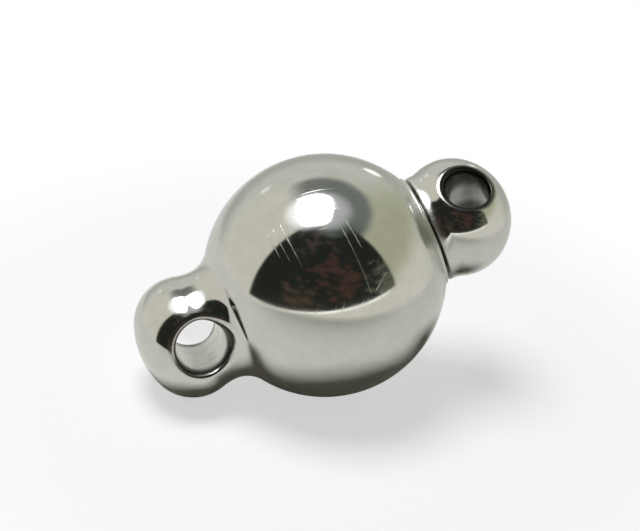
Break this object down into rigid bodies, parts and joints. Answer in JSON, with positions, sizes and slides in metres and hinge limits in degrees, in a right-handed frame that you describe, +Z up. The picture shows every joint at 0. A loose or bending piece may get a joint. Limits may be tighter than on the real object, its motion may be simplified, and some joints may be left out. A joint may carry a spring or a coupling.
{
  "type": "round magnetic jewellery clasp",
  "caption": "Round magnetic clasp: a polished ball with a drilled loop knob, closed by a knobbed plug that magnets hold in the ball's socket and that swivels and pulls straight out.",
  "frame": {"origin": "centre of the bounding box on the ground plane that the clasp lies on", "axes": "+Z up; +X along the clasp from the ball's own knob to the plug, seen from above; the clasp's own axis leans up towards +X by the angle at which ball and knob both touch the ground"},
  "size_m": [0.0124, 0.008, 0.008],
  "materials": {
    "ball_plating": "polished",
    "plug_plating": "polished",
    "magnet": "satin"
  },
  "bodies": {
    "ball_half": {"ball_with_knob": "ball_plating", "ball_magnet": "magnet"},
    "plug_core": {"plug_magnet": "magnet"},
    "plug_half": {"plug_with_knob": "plug_plating"}
  },
  "joints": [
    {"name": "pull_open", "type": "slide", "parent": "ball_half", "child": "plug_core", "axis": [0.9137, 0, 0.4065], "range_m": [0, 0.005]},
    {"name": "swivel", "type": "hinge", "parent": "plug_core", "child": "plug_half", "pos_m": [0.00005, 0, 0.004], "axis": [0.9137, 0, 0.4065], "continuous": true}
  ]
}
